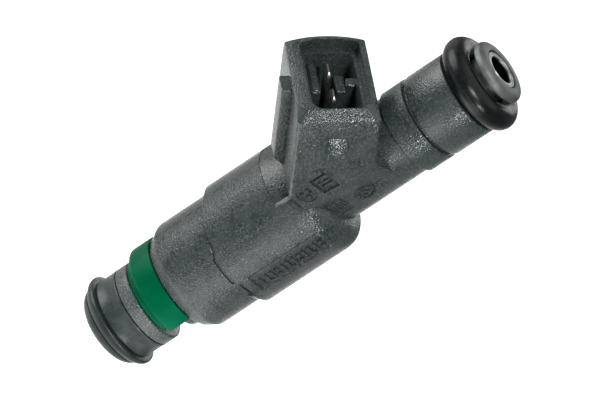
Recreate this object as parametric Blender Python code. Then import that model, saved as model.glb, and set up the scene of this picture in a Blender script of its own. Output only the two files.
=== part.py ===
"""Top-feed fuel injector, modelled piece by piece.

Row frame: origin at the centre of the nozzle-end face, +Z along the injector axis towards the
fuel inlet, +X towards the electrical connector.  Driving dimensions are in millimetres.
"""
import math

import bmesh
import bpy
from mathutils import Matrix, Vector

MM = 0.001

# ---------------------------------------------------------------- driving dimensions (mm)
OUTER_SEGMENTS = 36
INNER_SEGMENTS = 20
FIT_GAP = 0.1              # radial and axial gap between pieces that touch
RUN_GAP = 0.08             # running clearance of the armature and the ball

CAP_TIP_R = 3.2
CAP_EDGE_R = 5.8
CAP_EDGE_Z = 1.8
SEAL_LEFT_Z = 1.87
SEAL_RIGHT_Z = 3.45
SEAL_CREST_R = 6.7
SLEEVE_R = 5.93
SLEEVE_Z = (3.55, 6.67)
BAND_Z = (6.82, 8.7)
COLLAR_R = 5.9
COLLAR_Z = (11.7, 12.6)
RING_SEAT = ((6.42, 13.27), (6.5, 13.42), (6.95, 13.5))   # radius, height: seat behind the colour ring
BARREL_1_R = 7.85
BARREL_1_Z = 14.85
STEP_Z = (22.95, 23.55)
BARREL_2_R = 8.65
SHOULDER_Z = (35.6, 38.8)
NECK_R = 5.68
NECK_COLLAR_Z = (51.75, 51.95, 55.5)
NECK_COLLAR_R = 6.07
UPPER_SLEEVE_Z = (56.1, 62.2)
UPPER_SLEEVE_R = 6.09

COLOUR_RING_R = (4.1, 7.03)
COLOUR_RING_Z = (8.9, 13.3)
COLOUR_RING_SPAN = (-174.5, 93.5)   # degrees about Z; the rest is the snap-on opening

UPPER_O_RING_Z = 64.2
UPPER_O_RING_R = 7.02
UPPER_O_RING_SECTION = 3.7
TUBE_R = 3.2
TUBE_BORE_R = 2.7
FLANGE_Z = (66.65, 67.93)
FLANGE_R = 4.63
FACE_R = 3.7
MOUTH_R = 2.94
MOUTH_DEPTH = 1.0
FILTER_HOLE_R = 2.05

CONNECTOR_TILT = math.radians(43.0)
RIM_CENTRE = (15.4, 50.9)  # x and z of the centre of the shroud's rim plane
SHROUD_HALF_T = 7.3
SHROUD_N = (-5.4, 5.9)
RIM_T = (-6.95, 6.55)      # far and near edge of the rim; the far one bows outward at its middle
RIM_N = (-5.4, 5.45)
RIM_BOW = 0.85
BEVEL_DEPTH = 1.7
MOUTH_T = (-6.6, 6.3)      # opening down to the step inside the rim
MOUTH_N = (-3.4, 4.6)
MOUTH_STEP_DEPTH = 1.8
CAVITY_T = (-6.2, 5.8)
CAVITY_N = (-2.75, 3.8)
CAVITY_DEPTH = 10.5
REAR_RIB_HALF_T = 1.5
REAR_RIB_N = -6.75
SHROUD_FOOT_Z = 36.9
SHROUD_BACK_X = 4.2
PLINTH_Z = (37.2, 48.8)
PLINTH_FRONT_X = 5.4
PLINTH_BLEND_X = (-0.4, 4.6)   # between these the plinth's sides run tangent into the neck

BLADE_SPACING = 4.8
BLADE_WIDTH = 2.6
BLADE_THICKNESS = 0.7
BLADE_TIP_DEPTH = 0.9
BLADE_BEND_DEPTH = 15.2
TERMINAL_END_Z = 33.2

HOUSING_R = (5.9, 6.5)
HOUSING_Z = (14.6, 33.2)
HOUSING_FLOOR_Z = 16.2
BODY_BORE_R = 6.6
TUBE_PASSAGE_R = 3.3
VALVE_BODY_Z = (2.9, 17.5)
VALVE_BODY_R = 3.9
VALVE_BODY_BORE_R = 3.0
GUIDE_SLEEVE_Z = (17.9, 26.6)
GUIDE_SLEEVE_R = (3.0, 3.4)
ARMATURE_Z = (18.7, 25.0)
NEEDLE_R = 0.9
BALL_R = 1.4
BALL_Z = 5.9
LIFT_GAP = 0.15
SPRING_SEAT_Z = 23.0
SPRING_TOP_Z = 29.0
SPRING_MEAN_R = 1.0
SPRING_WIRE_R = 0.17
SPRING_TURNS = 7
CORE_TOP_Z = 35.6
CORE_BORE_R = 1.35


# ---------------------------------------------------------------- helpers
def clear_scene():
    for item in list(bpy.data.objects):
        bpy.data.objects.remove(item, do_unlink=True)


def material(name, colour, roughness, metallic=0.0):
    made = bpy.data.materials.new(name)
    made.use_nodes = True
    shader = made.node_tree.nodes["Principled BSDF"]
    shader.inputs["Base Color"].default_value = (*colour, 1.0)
    shader.inputs["Roughness"].default_value = roughness
    shader.inputs["Metallic"].default_value = metallic
    return made


def finish(name, work, shader=None, smooth_angle=35.0):
    """Turn a bmesh in millimetres into a named object in metres."""
    bmesh.ops.recalc_face_normals(work, faces=work.faces)
    bmesh.ops.scale(work, vec=(MM, MM, MM), verts=work.verts)
    mesh = bpy.data.meshes.new(name)
    work.to_mesh(mesh)
    work.free()
    mesh.shade_smooth()
    mesh.set_sharp_from_angle(angle=math.radians(smooth_angle))
    made = bpy.data.objects.new(name, mesh)
    bpy.context.scene.collection.objects.link(made)
    if shader:
        mesh.materials.append(shader)
    return made


def turn(work, profile, segments):
    """Revolve a closed outline of (radius, height) points about Z; radius 0 makes a pole."""
    rings = []
    for radius, height in profile:
        if radius < 1e-9:
            rings.append([work.verts.new((0.0, 0.0, height))])
            continue
        ring = []
        for step in range(segments):
            angle = 2.0 * math.pi * step / segments
            ring.append(work.verts.new((radius * math.cos(angle), radius * math.sin(angle), height)))
        rings.append(ring)
    for index, ring in enumerate(rings):
        other = rings[(index + 1) % len(rings)]
        if len(ring) == 1 and len(other) == 1:
            continue
        for step in range(segments):
            after = (step + 1) % segments
            corners = [ring[step % len(ring)], ring[after % len(ring)]]
            corners += [other[after % len(other)], other[step % len(other)]]
            unique = []
            for corner in corners:
                if corner not in unique:
                    unique.append(corner)
            work.faces.new(unique)


def turned(name, profile, shader=None, segments=OUTER_SEGMENTS):
    work = bmesh.new()
    turn(work, profile, segments)
    return finish(name, work, shader)


def tube_profile(inner, outer, low, high, chamfer=0.0):
    if chamfer <= 0.0:
        return [(inner, low), (outer, low), (outer, high), (inner, high)]
    return [(inner, low), (outer - chamfer, low), (outer, low + chamfer),
            (outer, high - chamfer), (outer - chamfer, high), (inner, high)]


def arc(centre, radius, start, end, steps):
    """Points on a circle in the (radius, height) plane, angles in degrees."""
    points = []
    for step in range(steps + 1):
        angle = math.radians(start + (end - start) * step / steps)
        points.append((centre[0] + radius * math.cos(angle), centre[1] + radius * math.sin(angle)))
    return points


def as_cutter(item):
    item.hide_render = True
    item.display_type = "WIRE"
    return item


def boolean(target, tool, operation="DIFFERENCE"):
    step = target.modifiers.new(operation.title() + "_" + tool.name, "BOOLEAN")
    step.operation = operation
    step.solver = "EXACT"
    step.object = as_cutter(tool)


def loft(work, sections):
    """Join closed sections that have the same number of points into one capped solid."""
    rings = [[work.verts.new(point) for point in section] for section in sections]
    for ring, other in zip(rings, rings[1:]):
        for step in range(len(ring)):
            after = (step + 1) % len(ring)
            work.faces.new((ring[step], ring[after], other[after], other[step]))
    work.faces.new(list(reversed(rings[0])))
    work.faces.new(rings[-1])


def plug_point(depth, across, along):
    """Connector frame to row frame: depth below the rim, across = Y, along = towards the inlet."""
    cosine = math.cos(CONNECTOR_TILT)
    sine = math.sin(CONNECTOR_TILT)
    return Vector((RIM_CENTRE[0] - depth * cosine - along * sine, across,
                   RIM_CENTRE[1] - depth * sine + along * cosine))


def bowed_outline(span_t, span_n, bow, near_radius, far_radius, steps=3):
    """Outline in (across, along): rounded near corners, tighter far corners, far edge bowed out."""
    far, near = span_t
    low, high = span_n
    points = arc((near - near_radius, high - near_radius), near_radius, 90.0, 0.0, steps)
    points += arc((near - near_radius, low + near_radius), near_radius, 0.0, -90.0, steps)
    points += arc((far + far_radius, low + far_radius), far_radius, 270.0, 180.0, 2)
    edge_steps = 6
    for step in range(1, edge_steps):
        share = 2.0 * step / edge_steps - 1.0
        along = low + far_radius + (high - low - 2.0 * far_radius) * step / edge_steps
        points.append((far - bow * (1.0 - abs(share) ** 2.2), along))
    points += arc((far + far_radius, high - far_radius), far_radius, 180.0, 90.0, 2)
    return points


def plug_section(depth, span_t, span_n, bow, near_radius, far_radius):
    outline = bowed_outline(span_t, span_n, bow, near_radius, far_radius)
    return [plug_point(depth, across, along) for across, along in outline]


def block(name, low, high):
    """Plain box between two corners."""
    section = [(low[0], low[1]), (high[0], low[1]), (high[0], high[1]), (low[0], high[1])]
    work = bmesh.new()
    loft(work, [[Vector((x, y, z)) for x, y in section] for z in (low[2], high[2])])
    return finish(name, work)


def plug_box(depths, across, along):
    section = [(across[0], along[0]), (across[1], along[0]), (across[1], along[1]), (across[0], along[1])]
    return [[plug_point(depth, a, b) for a, b in section] for depth in depths]


# ---------------------------------------------------------------- materials
GREY_PLASTIC = material("grained_grey_plastic", (0.105, 0.125, 0.122), 0.55)
DARK_PLASTIC = material("smooth_dark_plastic", (0.06, 0.07, 0.07), 0.38)
GREEN_PLASTIC = material("green_plastic", (0.0, 0.22, 0.075), 0.3)
BLACK_RUBBER = material("black_rubber", (0.015, 0.017, 0.017), 0.3)
FLANGE_METAL = material("plated_steel", (0.42, 0.44, 0.44), 0.35, 1.0)
STAINLESS = material("stainless_steel", (0.55, 0.55, 0.54), 0.3, 1.0)
SOFT_IRON = material("soft_iron", (0.4, 0.4, 0.41), 0.45, 1.0)
BRASS = material("brass", (0.62, 0.5, 0.26), 0.35, 1.0)
COPPER = material("enamelled_copper", (0.55, 0.22, 0.09), 0.35, 1.0)
NYLON = material("natural_nylon", (0.55, 0.52, 0.45), 0.5)
TINNED = material("tinned_bronze", (0.72, 0.71, 0.66), 0.28, 1.0)
SPRING_STEEL = material("spring_steel", (0.35, 0.35, 0.36), 0.35, 1.0)


# ---------------------------------------------------------------- nozzle end, outside
def build_nozzle_cap():
    bore = 2.0
    seat_depth = 2.3
    groove_r = 4.15
    dome = arc((CAP_TIP_R - 0.4, CAP_EDGE_Z + 0.2), 3.0, -70.0, -8.0, 6)
    scale = (CAP_EDGE_R - CAP_TIP_R) / (dome[-1][0] - dome[0][0])
    lift = CAP_EDGE_Z / (dome[-1][1] - dome[0][1])
    outer = [(CAP_TIP_R + (r - dome[0][0]) * scale, (z - dome[0][1]) * lift) for r, z in dome]
    profile = [(bore, 0.0)] + outer
    profile += [(groove_r, CAP_EDGE_Z), (groove_r, SLEEVE_Z[0] - FIT_GAP)]
    profile += [(VALVE_BODY_R + FIT_GAP, SLEEVE_Z[0] - FIT_GAP), (VALVE_BODY_R + FIT_GAP, seat_depth)]
    profile += [(bore, seat_depth)]
    return turned("nozzle_cap", profile, DARK_PLASTIC)


def build_lower_seal():
    inner = 4.25
    crest_z = SEAL_RIGHT_Z - 0.3
    profile = [(inner, SEAL_LEFT_Z), (CAP_EDGE_R - 0.02, SEAL_LEFT_Z)]
    for step in range(1, 6):
        share = step / 6.0
        radius = CAP_EDGE_R + (SEAL_CREST_R - CAP_EDGE_R) * math.sin(share * math.pi / 2.0)
        profile.append((radius, SEAL_LEFT_Z + (crest_z - SEAL_LEFT_Z) * share))
    profile += [(SEAL_CREST_R, crest_z), (SEAL_CREST_R - 0.07, SEAL_RIGHT_Z - 0.1)]
    profile += [(SEAL_CREST_R - 0.25, SEAL_RIGHT_Z), (inner, SEAL_RIGHT_Z)]
    return turned("lower_seal_ring", profile, BLACK_RUBBER)


def build_nozzle_sleeve():
    profile = tube_profile(VALVE_BODY_R + FIT_GAP, SLEEVE_R, SLEEVE_Z[0], SLEEVE_Z[1], 0.08)
    return turned("nozzle_sleeve", profile, DARK_PLASTIC)


def build_retaining_band():
    corner = 0.35
    inner = VALVE_BODY_R + FIT_GAP
    profile = [(inner, BAND_Z[0]), (SLEEVE_R - 0.06, BAND_Z[0]), (SLEEVE_R, BAND_Z[0] + 0.06)]
    profile += arc((SLEEVE_R - corner, BAND_Z[1] - corner), corner, 0.0, 90.0, 4)
    profile.append((inner, BAND_Z[1]))
    return turned("retaining_band", profile, GREY_PLASTIC)


def build_colour_ring():
    """Snap-on C ring: its inner part grips the groove, its outer part laps the body's collar."""
    inner, outer = COLOUR_RING_R
    low, high = COLOUR_RING_Z
    lap_r = COLLAR_R + 0.15
    profile = [(inner, low), (SLEEVE_R - 0.07, low), (SLEEVE_R, low + 0.07), (SLEEVE_R, low + 0.62)]
    profile += [(SLEEVE_R + 0.08, low + 0.75), (outer - 0.5, low + 1.0), (outer - 0.15, low + 1.3)]
    profile += [(outer, low + 1.7), (outer, high - 0.1), (outer - 0.1, high), (lap_r + 0.55, high)]
    profile += [(lap_r, high - 0.65), (lap_r, COLLAR_Z[0] - FIT_GAP), (inner, COLLAR_Z[0] - FIT_GAP)]
    start, end = (math.radians(angle) for angle in COLOUR_RING_SPAN)
    steps = 28
    work = bmesh.new()
    sections = []
    for step in range(steps + 1):
        angle = start + (end - start) * step / steps
        sections.append([Vector((r * math.cos(angle), r * math.sin(angle), z)) for r, z in profile])
    loft(work, sections)
    return finish("colour_ring", work, GREEN_PLASTIC)


# ---------------------------------------------------------------- overmoulded body
def body_outline():
    """Outer outline of the moulding, from the collar up to the groove under the upper sleeve."""
    outline = [(COLLAR_R - 0.3, COLLAR_Z[0]), (COLLAR_R, COLLAR_Z[0] + 0.3), (COLLAR_R, COLLAR_Z[1])]
    outline += list(RING_SEAT)
    outline += [(BARREL_1_R - 0.25, BARREL_1_Z - 0.15), (BARREL_1_R, BARREL_1_Z + 0.2)]
    outline += [(BARREL_1_R, STEP_Z[0]), (BARREL_2_R, STEP_Z[1]), (BARREL_2_R, SHOULDER_Z[0])]
    drop = BARREL_2_R - NECK_R
    rise = SHOULDER_Z[1] - SHOULDER_Z[0]
    for angle in (30.0, 50.0, 70.0):
        turn_by = math.radians(angle)
        outline.append((NECK_R + drop * math.cos(turn_by), SHOULDER_Z[0] + rise * math.sin(turn_by)))
    outline += [(NECK_R, SHOULDER_Z[1]), (NECK_R, NECK_COLLAR_Z[0]), (NECK_COLLAR_R, NECK_COLLAR_Z[1])]
    outline += [(NECK_COLLAR_R, NECK_COLLAR_Z[2] - 0.1), (NECK_COLLAR_R - 0.1, NECK_COLLAR_Z[2])]
    return outline


def build_shroud_block():
    """Tilted connector box, cut off level at its foot and upright where it joins the neck."""
    side_t = (-SHROUD_HALF_T, SHROUD_HALF_T)
    sections = [
        plug_section(0.0, RIM_T, RIM_N, RIM_BOW, 2.4, 0.35),
        plug_section(BEVEL_DEPTH, side_t, SHROUD_N, 0.6 * RIM_BOW, 0.45, 0.35),
        plug_section(8.0, side_t, SHROUD_N, 0.0, 0.45, 0.35),
        plug_section(22.0, side_t, SHROUD_N, 0.0, 0.45, 0.35),
    ]
    work = bmesh.new()
    loft(work, sections)
    made = finish("shroud_block", work)
    keep = block("shroud_limits", (SHROUD_BACK_X, -10.0, SHROUD_FOOT_Z), (30.0, 10.0, 70.0))
    boolean(made, keep, "INTERSECT")
    return made


def plinth_half_width(x):
    low, high = PLINTH_BLEND_X
    share = min(max((x - low) / (high - low), 0.0), 1.0)
    widest = SHROUD_HALF_T - 0.05
    return NECK_R - 0.06 + (widest - NECK_R + 0.06) * (1.0 - math.cos(math.pi * share)) / 2.0


def plinth_section(height, inset):
    places = []
    blend_steps = 6
    for step in range(blend_steps + 1):
        places.append(PLINTH_BLEND_X[0] + (PLINTH_BLEND_X[1] - PLINTH_BLEND_X[0]) * step / blend_steps)
    places.append(PLINTH_FRONT_X)
    right = [Vector((x, plinth_half_width(x) - inset, height)) for x in places]
    left = [Vector((point.x, -point.y, height)) for point in reversed(right)]
    return right + left


def build_plinth():
    """Block that carries the connector; its sides run smoothly into the neck."""
    low, high = PLINTH_Z
    work = bmesh.new()
    loft(work, [plinth_section(low, 0.9), plinth_section(low + 0.5, 0.25), plinth_section(low + 1.2, 0.0),
                plinth_section(high, 0.0)])
    return finish("plinth_block", work)


def build_latch_wedges():
    """A wedge on each narrow side of the shroud, which the plug's wire clip snaps over."""
    half_n = 1.3
    centre_n = 0.2
    outline = [(4.75, SHROUD_HALF_T - 0.6), (4.75, SHROUD_HALF_T), (6.05, SHROUD_HALF_T + 1.4),
               (7.35, SHROUD_HALF_T + 1.4), (7.35, SHROUD_HALF_T - 0.6)]
    made = []
    for side, name in ((1.0, "latch_wedge_a"), (-1.0, "latch_wedge_b")):
        work = bmesh.new()
        sections = []
        for along in (centre_n - half_n, centre_n + half_n):
            sections.append([plug_point(depth, across * side, along) for depth, across in outline])
        loft(work, sections)
        made.append(finish(name, work))
    return made


def build_rear_rib():
    """Narrow rib down the nozzle side of the shroud, cut off level just above the shroud's foot."""
    end_z = SHROUD_FOOT_Z + 0.1
    root_n = SHROUD_N[0] + 0.6
    sine = math.sin(CONNECTOR_TILT)
    cosine = math.cos(CONNECTOR_TILT)
    sections = []
    for start_depth in (1.1, None):
        section = []
        corners = [(-1.0, REAR_RIB_N), (1.0, REAR_RIB_N), (1.0, root_n), (-1.0, root_n)]
        for side, along in corners:
            depth = start_depth or (RIM_CENTRE[1] + along * cosine - end_z) / sine
            section.append(plug_point(depth, side * REAR_RIB_HALF_T, along))
        sections.append(section)
    work = bmesh.new()
    loft(work, sections)
    return finish("rear_rib", work)


def build_cavity():
    mouth_bow = RIM_BOW - 0.1
    sections = [plug_section(-1.0, MOUTH_T, MOUTH_N, mouth_bow, 1.9, 0.4),
                plug_section(MOUTH_STEP_DEPTH, MOUTH_T, MOUTH_N, mouth_bow, 1.9, 0.4),
                plug_section(MOUTH_STEP_DEPTH, CAVITY_T, CAVITY_N, 0.0, 1.4, 1.4),
                plug_section(CAVITY_DEPTH, (CAVITY_T[0] + 0.3, CAVITY_T[1] - 0.3),
                             (CAVITY_N[0] + 0.3, CAVITY_N[1] - 0.3), 0.0, 1.2, 1.2)]
    work = bmesh.new()
    loft(work, sections)
    return finish("connector_cavity", work)


def build_key_blocks():
    """Coding keys that stand on the floor and against the walls of the connector cavity."""
    floor = CAVITY_DEPTH + 0.4
    keys = [((3.2, floor), (CAVITY_T[0] - 0.3, -0.4), (-2.3, -1.0)),
            ((4.0, floor), (-4.3, -1.1), (1.2, 2.6)),
            ((3.0, floor), (-2.7, -1.2), (2.5, CAVITY_N[1] + 0.3))]
    made = []
    for index, (depths, across, along) in enumerate(keys):
        work = bmesh.new()
        loft(work, plug_box(depths, across, along))
        made.append(finish("key_block_%d" % index, work))
    return made


def body_bore_profile():
    """Everything that is hollow along the axis of the moulding."""
    low = COLLAR_Z[0] - 1.0
    top = NECK_COLLAR_Z[2] + 1.0
    neck_r = VALVE_BODY_R + FIT_GAP
    return [(0.0, low), (neck_r, low), (neck_r, HOUSING_Z[0] - FIT_GAP),
            (BODY_BORE_R, HOUSING_Z[0] - FIT_GAP), (BODY_BORE_R, CORE_TOP_Z - 0.9),
            (3.55, CORE_TOP_Z - 0.9), (3.55, CORE_TOP_Z + FIT_GAP),
            (TUBE_PASSAGE_R, CORE_TOP_Z + FIT_GAP), (TUBE_PASSAGE_R, top), (0.0, top)]


def build_body():
    outline = body_outline()
    profile = [(0.0, outline[0][1])] + outline + [(0.0, outline[-1][1])]
    body = turned("overmould_body", profile, GREY_PLASTIC)
    for part in [build_shroud_block(), build_plinth(), build_rear_rib()] + build_latch_wedges():
        boolean(body, part, "UNION")
    boolean(body, build_cavity())
    for part in build_key_blocks():
        boolean(body, part, "UNION")
    boolean(body, turned("body_bore", body_bore_profile()))
    for side in (-1.0, 1.0):
        boolean(body, build_terminal("terminal_slot_" + ("a" if side < 0 else "b"), side, 0.12, None))
    return body


# ---------------------------------------------------------------- terminals
def build_terminal(name, side, grow, shader):
    """Blade in the shroud, bent down inside the moulding towards the coil."""
    half_w = BLADE_WIDTH / 2.0 + grow
    half_t = BLADE_THICKNESS / 2.0 + grow
    centre = side * BLADE_SPACING / 2.0
    tip = BLADE_TIP_DEPTH - grow
    bend = plug_point(BLADE_BEND_DEPTH, 0.0, 0.0)
    cosine = math.cos(CONNECTOR_TILT)
    sine = math.sin(CONNECTOR_TILT)
    lateral = Vector((-sine, 0.0, cosine))
    mitre_angle = math.pi / 4.0 - CONNECTOR_TILT / 2.0
    mitre = Vector((-math.cos(mitre_angle), 0.0, math.sin(mitre_angle))) / math.cos(mitre_angle)
    places = [(plug_point(tip, 0.0, 0.0), lateral, half_w - 0.45, half_t * 0.5),
              (plug_point(tip + 0.7, 0.0, 0.0), lateral, half_w, half_t),
              (bend, mitre, half_w, half_t),
              (Vector((bend.x, 0.0, TERMINAL_END_Z - grow)), Vector((-1.0, 0.0, 0.0)), half_w, half_t)]
    sections = []
    for centre_point, offset, width, thick in places:
        section = []
        for sign_y, sign_n in ((-1, -1), (1, -1), (1, 1), (-1, 1)):
            point = centre_point + offset * (sign_n * thick)
            section.append(Vector((point.x, centre + sign_y * width, point.z)))
        sections.append(section)
    work = bmesh.new()
    loft(work, sections)
    return finish(name, work, shader)


# ---------------------------------------------------------------- inlet end
def build_upper_sleeve():
    spigot_r = 5.55
    low, high = UPPER_SLEEVE_Z
    spigot_low = NECK_COLLAR_Z[2] + FIT_GAP
    profile = [(TUBE_PASSAGE_R, spigot_low), (spigot_r, spigot_low), (spigot_r, low)]
    profile += [(UPPER_SLEEVE_R - 0.25, low), (UPPER_SLEEVE_R, low + 0.25)]
    profile += [(UPPER_SLEEVE_R, high - 0.1), (UPPER_SLEEVE_R - 0.1, high), (TUBE_PASSAGE_R, high)]
    return turned("upper_sleeve", profile, GREY_PLASTIC)


def build_upper_o_ring():
    section_r = UPPER_O_RING_SECTION / 2.0
    profile = arc((UPPER_O_RING_R - section_r, UPPER_O_RING_Z), section_r, 0.0, 360.0, 14)[:-1]
    return turned("upper_o_ring", profile, BLACK_RUBBER)


def build_inlet_tube():
    low = CORE_TOP_Z + FIT_GAP + 0.1
    face_z = FLANGE_Z[1]
    profile = [(TUBE_BORE_R, low), (TUBE_R, low), (TUBE_R, FLANGE_Z[0] - 0.15), (TUBE_R + 0.15, FLANGE_Z[0])]
    profile += [(FLANGE_R - 0.2, FLANGE_Z[0]), (FLANGE_R, FLANGE_Z[0] + 0.2), (FLANGE_R, FLANGE_Z[0] + 0.45)]
    profile += [(FLANGE_R - 0.25, face_z - 0.35), (FLANGE_R - 0.6, face_z - 0.08), (FACE_R, face_z)]
    profile += [(MOUTH_R, face_z), (MOUTH_R, face_z - MOUTH_DEPTH), (TUBE_BORE_R, face_z - MOUTH_DEPTH)]
    return turned("inlet_tube", profile, FLANGE_METAL)


def build_filter_ring():
    top = FLANGE_Z[1] - 0.15
    lip_low = FLANGE_Z[1] - MOUTH_DEPTH + 0.1
    skirt_low = top - 2.4
    outer = MOUTH_R - 0.12
    skirt = TUBE_BORE_R - FIT_GAP
    profile = [(FILTER_HOLE_R, skirt_low), (skirt, skirt_low), (skirt, lip_low)]
    profile += [(outer, lip_low), (outer, top - 0.12), (outer - 0.12, top)]
    profile += [(FILTER_HOLE_R + 0.15, top), (FILTER_HOLE_R, top - 0.15)]
    return turned("filter_ring", profile, BRASS, INNER_SEGMENTS * 2)


def build_filter_basket():
    top = FLANGE_Z[1] - 0.15 - 2.4 - FIT_GAP
    low = top - 9.0
    outer = TUBE_BORE_R - FIT_GAP
    inner = 2.15
    basket = turned("filter_basket", tube_profile(inner, outer, low, top), NYLON, INNER_SEGMENTS)
    window_low = low + 0.7
    for level in range(3):
        base = window_low + level * 2.8
        for quarter in range(2):
            work = bmesh.new()
            bmesh.ops.create_cube(work, size=1.0)
            bmesh.ops.scale(work, vec=(8.0, 2.6, 2.2), verts=work.verts)
            bmesh.ops.rotate(work, cent=(0, 0, 0), matrix=Matrix.Rotation(math.pi / 2 * quarter, 3, "Z"),
                             verts=work.verts)
            bmesh.ops.translate(work, vec=(0.0, 0.0, base + 1.1), verts=work.verts)
            boolean(basket, finish("basket_window_%d_%d" % (level, quarter), work))
    return basket


def build_filter_mesh():
    top = FLANGE_Z[1] - 0.15 - 2.4 - FIT_GAP
    outer = 2.05
    wall = 0.2
    low = top - 8.9
    profile = [(0.0, low), (outer, low), (outer, top), (outer - wall, top), (outer - wall, low + wall)]
    profile += [(0.0, low + wall)]
    return turned("filter_mesh", profile, NYLON, INNER_SEGMENTS)


def build_adjusting_sleeve():
    low = SPRING_TOP_Z + 0.05
    profile = tube_profile(0.6, CORE_BORE_R - FIT_GAP, low, low + 5.0, 0.1)
    return turned("adjusting_sleeve", profile, BRASS, INNER_SEGMENTS)


# ---------------------------------------------------------------- magnet circuit
def build_pole_core():
    low = ARMATURE_Z[1] + LIFT_GAP
    spigot_r = GUIDE_SLEEVE_R[0] - FIT_GAP
    shoulder = GUIDE_SLEEVE_Z[1] + FIT_GAP
    profile = [(CORE_BORE_R, low), (spigot_r, low), (spigot_r, shoulder), (GUIDE_SLEEVE_R[1], shoulder)]
    profile += [(GUIDE_SLEEVE_R[1], CORE_TOP_Z), (CORE_BORE_R, CORE_TOP_Z)]
    return turned("pole_core", profile, SOFT_IRON, INNER_SEGMENTS)


def build_coil_bobbin():
    inner = GUIDE_SLEEVE_R[1] + 0.12
    hub = 3.95
    flange = HOUSING_R[0] - 0.15
    low = HOUSING_FLOOR_Z + 1.6
    high = 32.95
    wall = 1.0
    profile = [(inner, low), (flange, low), (flange, low + wall), (hub, low + wall), (hub, high - wall)]
    profile += [(flange, high - wall), (flange, high), (inner, high)]
    return turned("coil_bobbin", profile, DARK_PLASTIC, INNER_SEGMENTS)


def build_coil_winding():
    low = HOUSING_FLOOR_Z + 1.6 + 1.0 + FIT_GAP
    high = 32.95 - 1.0 - FIT_GAP
    profile = tube_profile(3.95 + FIT_GAP, HOUSING_R[0] - 0.4, low, high)
    return turned("coil_winding", profile, COPPER, INNER_SEGMENTS)


def build_magnet_housing():
    inner, outer = HOUSING_R
    hole = VALVE_BODY_R + FIT_GAP
    profile = [(hole, HOUSING_Z[0]), (outer, HOUSING_Z[0]), (outer, HOUSING_Z[1]), (inner, HOUSING_Z[1])]
    profile += [(inner, HOUSING_FLOOR_Z), (hole, HOUSING_FLOOR_Z)]
    return turned("magnet_housing", profile, SOFT_IRON)


def build_yoke_washer():
    """Iron washer that closes the magnet circuit, notched where the terminals pass."""
    low = HOUSING_Z[1] + FIT_GAP
    washer = turned("yoke_washer", tube_profile(GUIDE_SLEEVE_R[1] + 0.12, HOUSING_R[1], low, low + 1.1),
                    SOFT_IRON)
    work = bmesh.new()
    bmesh.ops.create_cube(work, size=1.0)
    bmesh.ops.scale(work, vec=(4.0, 8.4, 4.0), verts=work.verts)
    bmesh.ops.translate(work, vec=(3.6 + 2.0, 0.0, low + 0.5), verts=work.verts)
    boolean(washer, finish("terminal_notch", work))
    return washer


# ---------------------------------------------------------------- valve
def build_valve_body():
    low, high = VALVE_BODY_Z
    profile = [(VALVE_BODY_BORE_R, low), (VALVE_BODY_R, low), (VALVE_BODY_R, high), (VALVE_BODY_BORE_R, high)]
    return turned("valve_body", profile, STAINLESS)


def build_lift_shim():
    low = VALVE_BODY_Z[1] + FIT_GAP
    profile = tube_profile(VALVE_BODY_BORE_R + 0.1, GUIDE_SLEEVE_R[1], low, low + 0.2)
    return turned("lift_shim", profile, STAINLESS, INNER_SEGMENTS)


def build_guide_sleeve():
    profile = tube_profile(*GUIDE_SLEEVE_R, *GUIDE_SLEEVE_Z)
    return turned("guide_sleeve", profile, STAINLESS, INNER_SEGMENTS)


def build_armature():
    low, high = ARMATURE_Z
    outer = GUIDE_SLEEVE_R[0] - RUN_GAP
    bore = NEEDLE_R + FIT_GAP
    profile = [(bore, low), (outer - 0.3, low), (outer, low + 0.3), (outer, high), (CORE_BORE_R, high)]
    profile += [(CORE_BORE_R, SPRING_SEAT_Z - 0.05), (bore, SPRING_SEAT_Z - 0.05)]
    return turned("armature", profile, SOFT_IRON, INNER_SEGMENTS)


def build_valve_needle():
    wall = 0.35
    low = BALL_Z + math.sqrt(BALL_R ** 2 - (NEEDLE_R - wall) ** 2) + 0.05
    profile = tube_profile(NEEDLE_R - wall, NEEDLE_R, low, SPRING_SEAT_Z - 0.3)
    return turned("valve_needle", profile, STAINLESS, INNER_SEGMENTS)


def build_valve_ball():
    profile = [(0.0, BALL_Z - BALL_R)]
    profile += arc((0.0, BALL_Z), BALL_R, -75.0, 75.0, 10)
    profile.append((0.0, BALL_Z + BALL_R))
    return turned("valve_ball", profile, STAINLESS, INNER_SEGMENTS)


def build_needle_guide():
    """Disc that centres the ball, with flow passages around it."""
    low = BALL_Z - 0.45
    profile = tube_profile(BALL_R + RUN_GAP, VALVE_BODY_BORE_R - FIT_GAP, low, low + 1.0)
    disc = turned("needle_guide", profile, STAINLESS, INNER_SEGMENTS)
    for index in range(4):
        angle = math.pi / 4.0 + index * math.pi / 2.0
        hole = turned("flow_hole_%d" % index, [(0.0, -2.0), (0.45, -2.0), (0.45, 2.0), (0.0, 2.0)], None, 12)
        hole.location = Vector((2.2 * math.cos(angle), 2.2 * math.sin(angle), low + 0.5)) * MM
        boolean(disc, hole)
    return disc


def build_valve_seat():
    """Seat disc with a 45 degree cone that the ball closes."""
    high = BALL_Z - 0.45 - FIT_GAP
    low = VALVE_BODY_Z[0]
    throat = 0.5
    clear = 0.02
    reach = (BALL_R + clear) / math.sin(math.radians(45.0))
    apex = BALL_Z - reach
    mouth = high - apex
    profile = [(throat, low), (VALVE_BODY_BORE_R - FIT_GAP, low), (VALVE_BODY_BORE_R - FIT_GAP, high)]
    profile += [(mouth, high), (throat, apex + throat)]
    return turned("valve_seat", profile, STAINLESS, INNER_SEGMENTS)


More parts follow.
